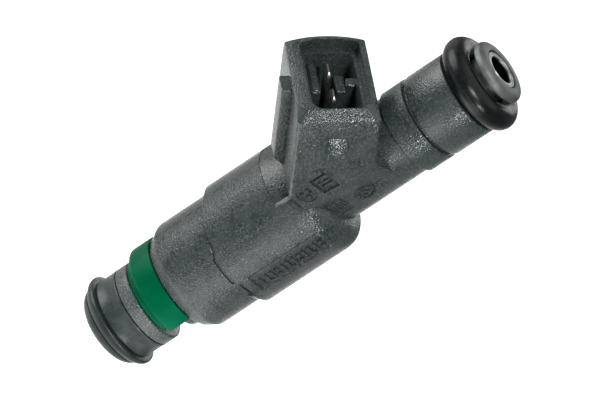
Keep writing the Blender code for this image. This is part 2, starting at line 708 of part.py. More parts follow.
def build_orifice_plate():
    high = VALVE_BODY_Z[0] - FIT_GAP
    low = high - 0.3
    profile = [(0.0, low), (3.0, low), (3.0, high), (0.0, high)]
    plate = turned("orifice_plate", profile, STAINLESS, INNER_SEGMENTS)
    for index in range(4):
        angle = index * math.pi / 2.0
        hole = turned("spray_hole_%d" % index, [(0.0, -1.0), (0.14, -1.0), (0.14, 1.0), (0.0, 1.0)], None, 8)
        hole.location = Vector((0.32 * math.cos(angle), 0.32 * math.sin(angle), low + 0.15)) * MM
        boolean(plate, hole)
    return plate


def build_return_spring():
    """Closed-end coil spring, swept as one tube along its helix."""
    sides = 6
    steps_per_turn = 12
    low = SPRING_SEAT_Z + SPRING_WIRE_R + 0.02
    high = SPRING_TOP_Z - SPRING_WIRE_R - 0.02
    steps = SPRING_TURNS * steps_per_turn
    work = bmesh.new()
    sections = []
    for step in range(steps + 1):
        angle = 2.0 * math.pi * step / steps_per_turn
        height = low + (high - low) * step / steps
        outward = Vector((math.cos(angle), math.sin(angle), 0.0))
        section = []
        for side in range(sides):
            around = 2.0 * math.pi * side / sides
            point = outward * (SPRING_MEAN_R + SPRING_WIRE_R * math.cos(around))
            section.append(point + Vector((0.0, 0.0, height + SPRING_WIRE_R * math.sin(around))))
        sections.append(section)
    loft(work, sections)
    return finish("return_spring", work, SPRING_STEEL)


def main():
    clear_scene()
    build_nozzle_cap()
    build_lower_seal()
    build_nozzle_sleeve()
    build_retaining_band()
    build_colour_ring()
    build_body()
    for side, name in ((-1.0, "terminal_blade_a"), (1.0, "terminal_blade_b")):
        build_terminal(name, side, 0.0, TINNED)
    build_upper_sleeve()
    build_upper_o_ring()
    build_inlet_tube()
    build_filter_ring()
    build_filter_basket()
    build_filter_mesh()
    build_adjusting_sleeve()
    build_pole_core()
    build_coil_bobbin()
    build_coil_winding()
    build_magnet_housing()
    build_yoke_washer()
    build_valve_body()
    build_lift_shim()
    build_guide_sleeve()
    build_armature()
    build_valve_needle()
    build_valve_ball()
    build_needle_guide()
    build_valve_seat()
    build_orifice_plate()
    build_return_spring()


main()
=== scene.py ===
"""Studio scene of a top-feed fuel injector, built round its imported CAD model."""

import math

import bmesh
import bpy
from mathutils import Matrix, Vector


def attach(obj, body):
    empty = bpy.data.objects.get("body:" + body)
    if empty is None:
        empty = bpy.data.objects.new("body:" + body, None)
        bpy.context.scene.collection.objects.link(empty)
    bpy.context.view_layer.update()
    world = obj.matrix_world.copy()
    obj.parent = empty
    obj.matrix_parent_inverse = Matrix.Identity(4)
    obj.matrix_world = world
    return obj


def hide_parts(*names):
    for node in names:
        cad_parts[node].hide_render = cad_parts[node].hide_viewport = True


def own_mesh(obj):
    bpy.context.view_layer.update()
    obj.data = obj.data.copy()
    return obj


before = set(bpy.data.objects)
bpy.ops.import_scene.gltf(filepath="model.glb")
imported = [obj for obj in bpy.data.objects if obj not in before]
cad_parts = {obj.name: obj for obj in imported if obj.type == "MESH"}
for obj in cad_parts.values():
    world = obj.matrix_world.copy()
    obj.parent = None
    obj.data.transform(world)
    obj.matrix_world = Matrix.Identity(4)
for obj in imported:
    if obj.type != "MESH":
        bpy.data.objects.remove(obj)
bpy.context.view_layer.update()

MM = 0.001
FINE = 144                       # facets round the large rings
SMOOTH_ANGLE = 32.0              # edges sharper than this many degrees stay crisp
BODY_SMOOTH_ANGLE = 26.0
ROOT = "injector_body"

# ---------------------------------------------------------------- dimensions (mm)
BARREL_R = 8.65
BARREL_LOW_R = 7.85
NECK_R = 5.68
BODY_BASE_Z = 11.7
BODY_TOP_Z = 55.5

CONNECTOR_TILT = math.radians(43.0)
RIM_CENTRE = (15.4, 50.9)        # x and z of the middle of the connector's rim
SHROUD_HALF_T = 7.3              # half of the shroud's size across, along Y
SHROUD_N = (-5.4, 5.9)           # the shroud's reach from the rim's centre, nozzle and inlet side
SHROUD_FOOT_Z = 36.9
SHROUD_BACK_X = 4.2
RIM_BOW = 0.85                   # how far the rim's far edge bows outward
CAVITY_DEPTH = 10.5
PLINTH_BLEND_X = (-0.4, 4.6)     # between these the plinth's sides run tangent into the neck


# ---------------------------------------------------------------- mesh helpers
def ring_angles(count):
    return [2.0 * math.pi * step / count for step in range(count)]


def make_object(name, work, shader, smooth_angle=SMOOTH_ANGLE):
    """Turn a bmesh in millimetres into a named object in metres."""
    bmesh.ops.recalc_face_normals(work, faces=work.faces)
    bmesh.ops.scale(work, vec=(MM, MM, MM), verts=work.verts)
    mesh = bpy.data.meshes.new(name)
    work.to_mesh(mesh)
    work.free()
    made = bpy.data.objects.new(name, mesh)
    bpy.context.scene.collection.objects.link(made)
    if shader:
        mesh.materials.append(shader)
    shade(mesh, smooth_angle)
    return made


def shade(mesh, smooth_angle):
    mesh.shade_smooth()
    mesh.set_sharp_from_angle(angle=math.radians(smooth_angle))


def skin(work, rings, closed_along=True):
    """Join rings of equal length with faces; a ring may be a single vertex, which makes a pole."""
    pairs = list(zip(rings, rings[1:]))
    if closed_along:
        pairs.append((rings[-1], rings[0]))
    for ring, other in pairs:
        count = max(len(ring), len(other))
        if count == 1:
            continue
        for step in range(count):
            after = (step + 1) % count
            corners = [ring[step % len(ring)], ring[after % len(ring)]]
            corners += [other[after % len(other)], other[step % len(other)]]
            unique = []
            for corner in corners:
                if corner not in unique:
                    unique.append(corner)
            work.faces.new(unique)


def lathe(name, profile, shader, count=FINE, wobble=None):
    """Revolve a closed outline of (radius, height).

    wobble(radius, height, angle) gives the shifted radius and height of a point.
    """
    work = bmesh.new()
    rings = []
    for radius, height in profile:
        if radius < 1e-9:
            rings.append([work.verts.new((0.0, 0.0, height))])
            continue
        ring = []
        for angle in ring_angles(count):
            r, z = wobble(radius, height, angle) if wobble else (radius, height)
            ring.append(work.verts.new((r * math.cos(angle), r * math.sin(angle), z)))
        rings.append(ring)
    skin(work, rings)
    return make_object(name, work, shader)


def loft(sections, name, shader=None):
    """Join open-ended sections of the same number of points and close both ends."""
    work = bmesh.new()
    rings = [[work.verts.new(point) for point in section] for section in sections]
    for ring, other in zip(rings, rings[1:]):
        for step in range(len(ring)):
            after = (step + 1) % len(ring)
            work.faces.new((ring[step], ring[after], other[after], other[step]))
    work.faces.new(list(reversed(rings[0])))
    work.faces.new(rings[-1])
    return make_object(name, work, shader)


def arc(centre, radius, start, end, steps):
    """Points of an arc from start to end, both in degrees."""
    points = []
    for step in range(steps + 1):
        angle = math.radians(start + (end - start) * step / steps)
        points.append((centre[0] + radius * math.cos(angle), centre[1] + radius * math.sin(angle)))
    return points


def rounded_rectangle(low_a, high_a, low_b, high_b, radius, steps=8):
    corners = [
        (high_a - radius, high_b - radius, 0.0), (low_a + radius, high_b - radius, 90.0),
        (low_a + radius, low_b + radius, 180.0), (high_a - radius, low_b + radius, 270.0),
    ]
    points = []
    for a, b, start in corners:
        points += arc((a, b), radius, start, start + 90.0, steps)
    return points


def plug_point(depth, across, along):
    """Connector frame to row frame: depth below the rim, across = Y, along = towards the inlet."""
    cosine = math.cos(CONNECTOR_TILT)
    sine = math.sin(CONNECTOR_TILT)
    return Vector((RIM_CENTRE[0] - depth * cosine - along * sine, across,
                   RIM_CENTRE[1] - depth * sine + along * cosine))


def plug_outline(points):
    """Row-frame (x, z) points to connector-frame (depth, along) points."""
    cosine = math.cos(CONNECTOR_TILT)
    sine = math.sin(CONNECTOR_TILT)
    made = []
    for x, z in points:
        dx, dz = x - RIM_CENTRE[0], z - RIM_CENTRE[1]
        made.append((-dx * cosine - dz * sine, -dx * sine + dz * cosine))
    return made


def bowed_outline(span_t, span_n, bow, near_radius, far_radius):
    """Outline in (across, along) with four rounded corners and the far edge bowed out."""
    corner_steps, edge_steps, bow_power = 10, 16, 2.2
    far, near = span_t
    low, high = span_n
    points = arc((near - near_radius, high - near_radius), near_radius, 90.0, 0.0, corner_steps)
    points += arc((near - near_radius, low + near_radius), near_radius, 0.0, -90.0, corner_steps)
    points += arc((far + far_radius, low + far_radius), far_radius, 270.0, 180.0, corner_steps)
    for step in range(1, edge_steps):
        share = 2.0 * step / edge_steps - 1.0
        along = low + far_radius + (high - low - 2.0 * far_radius) * step / edge_steps
        points.append((far - bow * (1.0 - abs(share) ** bow_power), along))
    points += arc((far + far_radius, high - far_radius), far_radius, 180.0, 90.0, corner_steps)
    return points


def plug_section(depth, span_t, span_n, bow, near_radius, far_radius):
    outline = bowed_outline(span_t, span_n, bow, near_radius, far_radius)
    return [plug_point(depth, across, along) for across, along in outline]


def box(low, high):
    section = [(low[0], low[1]), (high[0], low[1]), (high[0], high[1]), (low[0], high[1])]
    return loft([[Vector((x, y, z)) for x, y in section] for z in (low[2], high[2])], "box")


def combine(target, tools, operation):
    """Apply one exact Boolean per tool and drop the tools."""
    for tool in tools:
        step = target.modifiers.new("step", "BOOLEAN")
        step.operation = operation
        step.solver = "EXACT"
        step.object = tool
    depsgraph = bpy.context.evaluated_depsgraph_get()
    result = bpy.data.meshes.new_from_object(target.evaluated_get(depsgraph))
    target.modifiers.clear()
    old = target.data
    result.name = old.name
    target.data = result
    bpy.data.meshes.remove(old)
    for tool in tools:
        bpy.data.objects.remove(tool, do_unlink=True)


def settle(piece, *nodes, slot=None, body=ROOT):
    """The piece rides on its body and stands for these CAD nodes."""
    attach(piece, body)
    if nodes:
        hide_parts(*nodes)
    return piece


# ---------------------------------------------------------------- materials
# Painted shade: near-black colour for the deep part of the inlet's bore
BORE_SHADE = (0.004, 0.005, 0.005)
BORE_SHADE_Z = (0.06745, 0.06772)      # metres: painted shade, black below the first height, none above the second
GREEN_GLINT = (0.05, 0.9, 0.6)
NOISE_MIDDLE = (0.3, 0.7)        # most of a noise texture's values lie between these
NOISE_CORE = (0.35, 0.65)
PIT_HEIGHT = 0.00008             # bump heights in metres
GRAIN_HEIGHT = 0.00003
SCRATCH_HEIGHT = 0.00002
MIX_FACTOR, MIX_FIRST, MIX_SECOND, MIX_COLOUR = 0, 6, 7, 2       # colour sockets of a Mix node


class Tree:
    """Small helper that adds nodes to one material."""

    def __init__(self, name):
        self.material = bpy.data.materials.new(name)
        self.material.use_nodes = True
        self.nodes = self.material.node_tree.nodes
        self.links = self.material.node_tree.links
        self.shader = self.nodes["Principled BSDF"]
        self.place = self.nodes.new("ShaderNodeTexCoord").outputs["Object"]

    def noise(self, scale, detail=2.0, roughness=0.5, stretch=None):
        node = self.nodes.new("ShaderNodeTexNoise")
        node.inputs["Scale"].default_value = scale
        node.inputs["Detail"].default_value = detail
        node.inputs["Roughness"].default_value = roughness
        source = self.place
        if stretch:
            mapping = self.nodes.new("ShaderNodeMapping")
            mapping.inputs["Scale"].default_value = stretch
            self.links.new(self.place, mapping.inputs["Vector"])
            source = mapping.outputs["Vector"]
        self.links.new(source, node.inputs["Vector"])
        return node.outputs["Fac"]

    def cells(self, scale):
        node = self.nodes.new("ShaderNodeTexVoronoi")
        node.inputs["Scale"].default_value = scale
        self.links.new(self.place, node.inputs["Vector"])
        return node.outputs["Distance"]

    def remap(self, source, low, high, to_low=0.0, to_high=1.0):
        node = self.nodes.new("ShaderNodeMapRange")
        node.inputs["From Min"].default_value = low
        node.inputs["From Max"].default_value = high
        node.inputs["To Min"].default_value = to_low
        node.inputs["To Max"].default_value = to_high
        self.links.new(source, node.inputs["Value"])
        return node.outputs["Result"]

    def mix(self, factor, first, second):
        node = self.nodes.new("ShaderNodeMix")
        node.data_type = "RGBA"
        for index, value in ((MIX_FIRST, first), (MIX_SECOND, second)):
            if isinstance(value, tuple):
                node.inputs[index].default_value = (*value, 1.0)
            else:
                self.links.new(value, node.inputs[index])
        self.links.new(factor, node.inputs[MIX_FACTOR])
        return node.outputs[MIX_COLOUR]

    def roughness(self, source, rough, less, more):
        """Roughness that wanders from rough - less to rough + more."""
        return self.remap(source, *NOISE_MIDDLE, rough - less, rough + more)

    def bump(self, source, strength, height, previous=None):
        node = self.nodes.new("ShaderNodeBump")
        node.inputs["Strength"].default_value = strength
        node.inputs["Distance"].default_value = height
        self.links.new(source, node.inputs["Height"])
        if previous is not None:
            self.links.new(previous, node.inputs["Normal"])
        return node.outputs["Normal"]

    def set(self, **values):
        for key, value in values.items():
            socket = self.shader.inputs[key.replace("_", " ")]
            if isinstance(value, bpy.types.NodeSocket):
                self.links.new(value, socket)
            elif isinstance(value, tuple):
                socket.default_value = (*value, 1.0)
            else:
                socket.default_value = value
        return self.material


def grained_plastic(name, dark, light, fleck, rough):
    """Spark-eroded moulded plastic: fine pits, mottled tone and pale flecks."""
    tree = Tree(name)
    mottle = tree.remap(tree.noise(420.0, 3.0, 0.6), *NOISE_CORE)
    fine = tree.noise(4300.0, 1.0, 0.5)
    tone = tree.mix(mottle, dark, light)
    tone = tree.mix(tree.remap(fine, 0.4, 0.62, 0.0, 0.85), tone, light)
    tone = tree.mix(tree.remap(fine, 0.58, 0.68), tone, fleck)
    roughness = tree.roughness(tree.noise(2600.0, 2.0), rough, 0.1, 0.12)
    normal = tree.bump(fine, 1.0, PIT_HEIGHT)
    normal = tree.bump(tree.cells(4200.0), 0.6, SCRATCH_HEIGHT, normal)
    return tree.set(Base_Color=tone, Roughness=roughness, Normal=normal, Specular_IOR_Level=0.4)


def smooth_plastic(name, dark, light, rough):
    """Moulded plastic or dull rubber with a faint grain and scuffs along the axis."""
    tree = Tree(name)
    mottle = tree.remap(tree.noise(600.0, 4.0, 0.6), *NOISE_CORE)
    scuff = tree.noise(2200.0, 3.0, 0.7, (1.0, 1.0, 0.25))
    tone = tree.mix(mottle, dark, light)
    grain = tree.noise(5200.0, 2.0, 0.6)
    tone = tree.mix(tree.remap(grain, 0.55, 0.72), tone, light)
    roughness = tree.roughness(scuff, rough, 0.06, 0.12)
    normal = tree.bump(grain, 0.8, GRAIN_HEIGHT, tree.bump(scuff, 0.25, SCRATCH_HEIGHT))
    return tree.set(Base_Color=tone, Roughness=roughness, Normal=normal, Specular_IOR_Level=0.28)


def glossy_plastic(name, dark, light, rough):
    """Coloured plastic whose highlights take on the ring's green."""
    tree = Tree(name)
    tone = tree.mix(tree.remap(tree.noise(260.0, 2.0), *NOISE_CORE), dark, light)
    fine = tree.noise(2600.0, 2.0, 0.5)
    roughness = tree.roughness(fine, rough, 0.04, 0.06)
    normal = tree.bump(fine, 0.12, SCRATCH_HEIGHT)
    return tree.set(Base_Color=tone, Roughness=roughness, Normal=normal, Specular_IOR_Level=0.1,
                    Specular_Tint=GREEN_GLINT)


def rubber(name, dark, light, rough):
    """Black rubber with a little dust on it."""
    tree = Tree(name)
    dust = tree.remap(tree.noise(1500.0, 5.0, 0.65), 0.55, 0.8)
    tone = tree.mix(dust, dark, light)
    fine = tree.noise(4200.0, 3.0, 0.6)
    roughness = tree.roughness(tree.noise(900.0, 3.0), rough, 0.06, 0.1)
    normal = tree.bump(fine, 0.18, GRAIN_HEIGHT)
    return tree.set(Base_Color=tone, Roughness=roughness, Normal=normal, Specular_IOR_Level=0.2)


def turned_metal(name, dark, light, rough, marks_scale=9000.0):
    """Metal with lathe marks round the part's axis."""
    tree = Tree(name)
    marks = tree.noise(marks_scale, 2.0, 0.6, (0.03, 0.03, 1.0))
    stain = tree.remap(tree.noise(700.0, 4.0, 0.6), 0.4, 0.75)
    tone = tree.mix(stain, light, dark)
    roughness = tree.roughness(marks, rough, 0.07, 0.12)
    normal = tree.bump(marks, 0.3, SCRATCH_HEIGHT)
    return tree.set(Base_Color=tone, Metallic=1.0, Roughness=roughness, Normal=normal)


def bore_shaded_metal(name, dark, light, rough):
    """Painted shade: bright at the mouth of the bore, painted black further in, where shade falls.
    """
    tree = Tree(name)
    split = tree.nodes.new("ShaderNodeSeparateXYZ")
    tree.links.new(tree.place, split.inputs["Vector"])
    # painted shade: the colour turns black with depth into the bore
    depth = tree.remap(split.outputs["Z"], *BORE_SHADE_Z)
    stain = tree.remap(tree.noise(700.0, 4.0, 0.6), 0.4, 0.75)
    tone = tree.mix(depth, BORE_SHADE, tree.mix(stain, light, dark))
    fine = tree.noise(5200.0, 2.0, 0.6)
    roughness = tree.roughness(fine, rough, 0.06, 0.1)
    normal = tree.bump(fine, 0.3, SCRATCH_HEIGHT)
    return tree.set(Base_Color=tone, Metallic=1.0, Roughness=roughness, Normal=normal)


def plain_metal(name, dark, light, rough):
    """Metal with faint stains and no direction."""
    tree = Tree(name)
    stain = tree.remap(tree.noise(900.0, 4.0, 0.6), 0.35, 0.7)
    fine = tree.noise(5200.0, 2.0, 0.6)
    roughness = tree.roughness(fine, rough, 0.06, 0.1)
    tone = tree.mix(stain, light, dark)
    normal = tree.bump(fine, 0.2, SCRATCH_HEIGHT)
    return tree.set(Base_Color=tone, Metallic=1.0, Roughness=roughness, Normal=normal)


# Each look: name, dark tone, light tone (and fleck tone), roughness.
GREY = grained_plastic("grey_moulding", (0.010, 0.016, 0.0155), (0.028, 0.037, 0.036),
                       (0.05, 0.062, 0.06), 0.2)
GREY_BAND = grained_plastic("grey_band", (0.02, 0.029, 0.028), (0.05, 0.063, 0.061),
                            (0.1, 0.115, 0.113), 0.28)
DARK = smooth_plastic("dark_moulding", (0.010, 0.016, 0.0155), (0.030, 0.041, 0.040), 0.32)
GREEN = glossy_plastic("green_clip", (0.0, 0.058, 0.023), (0.0003, 0.080, 0.033), 0.36)
BLACK = rubber("black_seal", (0.002, 0.0035, 0.0035), (0.011, 0.015, 0.015), 0.27)
SEAL = smooth_plastic("worn_seal", (0.006, 0.010, 0.0095), (0.020, 0.028, 0.027), 0.32)
FLANGE = turned_metal("flange_metal", (0.08, 0.09, 0.089), (0.16, 0.174, 0.172), 0.55)
# Painted shade: the filter ring's metal turns black deeper in the bore
RING = bore_shaded_metal("filter_ring_metal", (0.16, 0.172, 0.17), (0.3, 0.32, 0.315), 0.36)
BLADE = plain_metal("tinned_blade", (0.14, 0.15, 0.145), (0.32, 0.33, 0.32), 0.3)
STEEL = turned_metal("ground_steel", (0.17, 0.17, 0.168), (0.33, 0.33, 0.325), 0.34)
IRON = turned_metal("machined_iron", (0.2, 0.2, 0.21), (0.42, 0.42, 0.43), 0.42)
BRASS = turned_metal("turned_brass", (0.42, 0.31, 0.13), (0.66, 0.53, 0.27), 0.34)
COPPER = turned_metal("copper_winding", (0.32, 0.1, 0.035), (0.6, 0.26, 0.1), 0.35, 3000.0)
# Painted shade: the filter basket and mesh are coloured near black, so the inlet's bore reads as
# shade
SHADE_DARK_NYLON = smooth_plastic("shade_dark_nylon", (0.012, 0.014, 0.014), (0.03, 0.033, 0.032), 0.4)
WIRE = plain_metal("spring_wire", (0.25, 0.25, 0.26), (0.45, 0.45, 0.46), 0.33)


# ---------------------------------------------------------------- nozzle end
SLEEVE_R = 5.93                  # outer radius of the nozzle sleeve and the band


def build_nozzle_cap():
    """Domed cap; its dome is a stretched arc from the flat end face to the rim."""
    face_r, rim_r, rim_z = 3.2, 5.8, 1.78
    bore_r, socket_r, hub_r, hub_z = 2.0, 4.0, 4.15, 3.45
    dome = arc((2.8, 2.0), 3.0, -70.0, -6.0, 14)
    scale = (rim_r - face_r) / (dome[-1][0] - dome[0][0])
    lift = rim_z / (dome[-1][1] - dome[0][1])
    profile = [(bore_r + 0.05, 0.08), (bore_r + 0.13, 0.0)]
    profile += [(face_r + (r - dome[0][0]) * scale, (z - dome[0][1]) * lift) for r, z in dome]
    profile += [(rim_r, rim_z + 0.02), (hub_r, rim_z + 0.02), (hub_r, hub_z), (socket_r, hub_z)]
    profile += [(socket_r, 2.3), (bore_r, 2.3), (bore_r, 0.2)]
    settle(lathe("nozzle_cap_fine", profile, DARK), "nozzle_cap", slot="smooth_dark_plastic")


def build_lower_seal():
    """Seal whose flank swells from the cap's rim out to a crest."""
    inner, foot, crest = 4.25, 5.86, 6.7
    low, high = 1.87, 3.45
    swell_steps, swell_power = 12, 0.9
    profile = [(inner, low), (foot - 0.11, low), (foot, low + 0.05)]
    for step in range(1, swell_steps):
        share = step / swell_steps
        swell = math.sin(share * math.pi / 2.0) ** swell_power
        profile.append((foot + (crest - foot) * swell, low + 0.08 + (high - 0.42 - low) * share))
    profile += [(crest, high - 0.3), (crest - 0.02, high - 0.16), (crest - 0.09, high - 0.05)]
    profile += [(crest - 0.2, high), (inner, high)]
    settle(lathe("lower_seal_fine", profile, SEAL), "lower_seal_ring", slot="black_rubber")


def build_nozzle_sleeve():
    """Tube with a slightly raised rim at both ends."""
    inner, outer = 4.0, SLEEVE_R
    low, high = 3.55, 6.67
    profile = [(inner, low), (outer - 0.12, low), (outer - 0.03, low + 0.03), (outer, low + 0.12)]
    profile += [(outer, low + 0.3), (outer - 0.05, low + 0.38), (outer - 0.05, high - 0.38)]
    profile += [(outer, high - 0.3), (outer, high - 0.12), (outer - 0.03, high - 0.03)]
    profile += [(outer - 0.12, high), (inner, high)]
    settle(lathe("nozzle_sleeve_fine", profile, DARK), "nozzle_sleeve", slot="smooth_dark_plastic")


def parting(radius, height, angle):
    """A shallow notch at the parting line of the band's mould."""
    line_angle, half_width, depth, skin_r = 2.0, 2.4, 0.05, 5.0
    turned = math.degrees(angle - math.radians(line_angle))
    turned = (turned + 180.0) % 360.0 - 180.0
    if radius < skin_r:
        return radius, height
    return radius - depth * max(0.0, 1.0 - abs(turned) / half_width), height


def build_retaining_band():
    inner, outer, rounding = 4.0, SLEEVE_R, 0.35
    low, high = 6.82, 8.7
    profile = [(inner, low), (outer - 0.1, low), (outer - 0.02, low + 0.02), (outer, low + 0.1)]
    profile += arc((outer - rounding, high - rounding), rounding, 0.0, 90.0, 8)
    profile.append((inner, high))
    band = lathe("retaining_band_fine", profile, GREY_BAND, FINE, parting)
    settle(band, "retaining_band", slot="grained_grey_plastic")


def build_colour_ring():
    """Snap-on C ring whose outer part laps the body's collar."""
    inner, outer, lap = 4.1, 7.03, 6.05
    low, high, collar_z = 8.9, 13.3, 11.6
    start, end, steps = math.radians(-174.5), math.radians(93.5), 110
    profile = [(inner, low), (5.84, low), (5.91, low + 0.03), (5.93, low + 0.1), (5.93, low + 0.58)]
    profile += arc((6.11, low + 0.62), 0.16, 180.0, 90.0, 4)
    profile += [(outer - 0.62, low + 0.86)]
    profile += arc((outer - 0.62, low + 1.48), 0.62, -90.0, 0.0, 8)
    profile += [(outer, low + 1.6), (outer, high - 0.16), (outer - 0.05, high - 0.05)]
    profile += [(outer - 0.16, high), (lap + 0.55, high), (lap, high - 0.65), (lap, collar_z)]
    profile += [(inner, collar_z)]
    sections = []
    for step in range(steps + 1):
        angle = start + (end - start) * step / steps
        sections.append([Vector((r * math.cos(angle), r * math.sin(angle), z)) for r, z in profile])
    settle(loft(sections, "colour_ring_fine", GREEN), "colour_ring", slot="green_plastic")


# ---------------------------------------------------------------- moulded body
# Sector edges of the barrel, in degrees either side of the connector.
SPINE, FLANK, PLATE, BACK = 11.1, 49.5, 82.1, 105.5
GROOVE_FROM = 30.0               # the groove below the step runs from this angle to BACK
PLATE_LOW_Z = 24.3
PLATE_DEPTH = 0.28
PLATE_STRIP = 4.3                # degrees of round strip before the sunk plate turns flat
PLATE_MIDDLE = (PLATE + PLATE_STRIP + BACK) / 2.0
PLATE_CHORD = (BARREL_R - PLATE_DEPTH) * math.cos(math.radians((BACK - PLATE - PLATE_STRIP) / 2.0))
SHOULDER_Z = (35.6, 38.8)
FACET_EDGE = (37.8, 42.4)        # from the first to the second, the facet rises to the barrel
FACET_LOW_Z = 33.55
FACET_SLOPE = 0.34


def sector_angles():
    """Even steps round the barrel, with extra ones that make each sector's edge crisp."""
    crisp, wide = 0.45, 0.9
    angles = [360.0 * step / FINE - 180.0 for step in range(FINE)]
    for edge in (SPINE, FLANK, PLATE, BACK):
        for offset in (-crisp, crisp):
            angles += [edge + offset, -edge - offset]
    flat_from = PLATE + PLATE_STRIP
    for edge in FACET_EDGE + (PLATE - wide, PLATE + wide, flat_from - 0.3, flat_from + 0.2):
        angles += [edge, -edge]
    return sorted(set(angles))


def step_heights(angle):
    """Where the barrel starts and ends its step up, which differs between the mould's sectors."""
    rise_span, fall_span = 20.0, 9.0
    if angle < -rise_span:
        return 23.3, 24.2
    if angle < SPINE:
        share = (SPINE - angle) / (SPINE + rise_span)
        return 22.75 + 0.55 * share, 23.5 + 0.7 * share
    if angle < FLANK:
        share = max(0.0, (angle - FLANK + fall_span) / fall_span)
        return 22.65 - 0.45 * share, 23.15 - 0.6 * share
    if angle < PLATE:
        return 22.1, 22.45
    if angle < BACK:
        return 22.75, 23.1
    return 21.7, 22.7


def facet_radius(radius, height, turned):
    """The barrel is cut away under the connector, down towards the neck."""
    if turned > FACET_EDGE[1] or not FACET_LOW_Z < height < SHOULDER_Z[1]:
        return radius
    cut = max(NECK_R, min(radius, BARREL_R - 0.12 - FACET_SLOPE * (height - FACET_LOW_Z)))
    share = min((FACET_EDGE[1] - turned) / (FACET_EDGE[1] - FACET_EDGE[0]), 1.0)
    return radius + (cut - radius) * share


def sector_offset(turned):
    """How far a sector of the barrel stands back from the full radius."""
    if turned < SPINE:
        return 0.07
    if FLANK < turned < PLATE:
        return 0.035
    if turned > BACK:
        return 0.045
    return 0.0


def barrel_point(tag, radius, height, angle):
    """Radius and height of one point; the tag says which feature its row of points belongs to."""
    groove_drop = {"groove start": 0.42, "groove": 0.3, "groove end": 0.02}
    flank_groove, front_groove, plate_groove = 0.16, 0.08, 0.13
    cone_drop, barrel_from_r, barrel_top_z, margin = 0.75, 7.0, 36.5, 0.2
    turned = abs(angle)
    low, high = step_heights(angle)
    if tag in groove_drop:
        height = low - groove_drop[tag]
        if tag != "groove start" and GROOVE_FROM < angle < BACK:
            radius -= flank_groove if angle > FLANK + margin else front_groove
    elif tag == "low":
        height = low
    elif tag == "high":
        height = high
    elif tag == "cone":
        height += cone_drop * max(0.0, -math.sin(math.radians(angle)))
    if radius > barrel_from_r and height < barrel_top_z:
        radius -= sector_offset(turned)
    if tag == "plate" and abs(turned - PLATE) < 0.5:
        radius -= plate_groove
    radius = facet_radius(radius, height, turned)
    if tag == "plate" and PLATE + margin < turned < BACK - margin:
        if turned > PLATE + PLATE_STRIP:
            radius = PLATE_CHORD / math.cos(math.radians(turned - PLATE_MIDDLE))
        else:
            radius -= PLATE_DEPTH
    return radius, height


def build_core():
    """The body's round part: collar, cone, stepped barrel, shoulder, neck and top collar."""
    collar_r, top_r = 5.9, 6.07
    outline = [("", collar_r - 0.3, BODY_BASE_Z), ("", collar_r - 0.08, BODY_BASE_Z + 0.08)]
    outline += [("", collar_r, BODY_BASE_Z + 0.3), ("", collar_r, 12.6)]
    outline += [("", 6.42, 13.27), ("", 6.5, 13.42)]
    outline += [("cone", radius, height) for radius, height in
                ((6.9, 13.48), (6.98, 13.56), (7.58, 14.55), (7.72, 14.78), (7.82, 15.02))]
    # barrel_point sets the heights of the groove rows and of the low and high row
    outline += [(tag, BARREL_LOW_R, height) for tag, height in
                (("cone", 15.25), ("", 18.0), ("groove start", 22.0), ("groove", 22.1),
                 ("groove end", 22.5), ("low", 22.6))]
    outline += [("high", BARREL_R, 23.2), ("", BARREL_R, PLATE_LOW_Z - 0.05)]
    outline += [("plate", BARREL_R, height) for height in
                (PLATE_LOW_Z + 0.12, 28.0, FACET_LOW_Z, FACET_LOW_Z + 0.06, 34.6, SHOULDER_Z[0])]
    drop, rise = BARREL_R - NECK_R, SHOULDER_Z[1] - SHOULDER_Z[0]
    for angle in (8.0, 16.0, 25.0, 35.0, 45.0, 55.0, 65.0, 75.0, 84.0):
        turn = math.radians(angle)
        outline.append(("", NECK_R + drop * math.cos(turn), SHOULDER_Z[0] + rise * math.sin(turn)))
    outline += [("", NECK_R, SHOULDER_Z[1] + 0.1), ("", NECK_R, 45.0), ("", NECK_R, 51.72)]
    outline += [("", NECK_R + 0.05, 51.76), ("", top_r - 0.05, 51.93), ("", top_r, 52.0)]
    outline += [("", top_r, 55.36), ("", top_r - 0.04, 55.46), ("", top_r - 0.12, BODY_TOP_Z)]
    work = bmesh.new()
    rings = [[work.verts.new((0.0, 0.0, BODY_BASE_Z))]]
    for tag, radius, height in outline:
        ring = []
        for angle in sector_angles():
            r, z = barrel_point(tag, radius, height, angle)
            turn = math.radians(angle)
            ring.append(work.verts.new((r * math.cos(turn), r * math.sin(turn), z)))
        rings.append(ring)
    rings.append([work.verts.new((0.0, 0.0, BODY_TOP_Z))])
    skin(work, rings, closed_along=False)
    return make_object("overmould_body_fine", work, GREY, BODY_SMOOTH_ANGLE)


def build_shroud():
    """The connector's outer walls, from the bowed rim down to the foot."""
    side_t = (-SHROUD_HALF_T, SHROUD_HALF_T)
    side_low = SHROUD_N[0]
    sections = [
        plug_section(0.0, (-6.85, 6.45), (side_low + 0.08, 5.35), RIM_BOW, 2.3, 0.3),
        plug_section(0.03, (-6.92, 6.52), (side_low + 0.02, 5.42), RIM_BOW, 2.35, 0.34),
        plug_section(0.1, (-6.95, 6.58), (side_low, 5.46), RIM_BOW, 2.4, 0.35),
        plug_section(1.62, (-7.27, 7.26), (side_low, 5.87), 0.62 * RIM_BOW, 0.62, 0.35),
        plug_section(1.74, side_t, SHROUD_N, 0.6 * RIM_BOW, 0.5, 0.35),
        plug_section(8.0, side_t, SHROUD_N, 0.0, 0.45, 0.35),
        plug_section(22.0, side_t, SHROUD_N, 0.0, 0.45, 0.35),
    ]
    shroud = loft(sections, "shroud")
    combine(shroud, [box((SHROUD_BACK_X, -10.0, SHROUD_FOOT_Z), (30.0, 10.0, 70.0))], "INTERSECT")
    return shroud


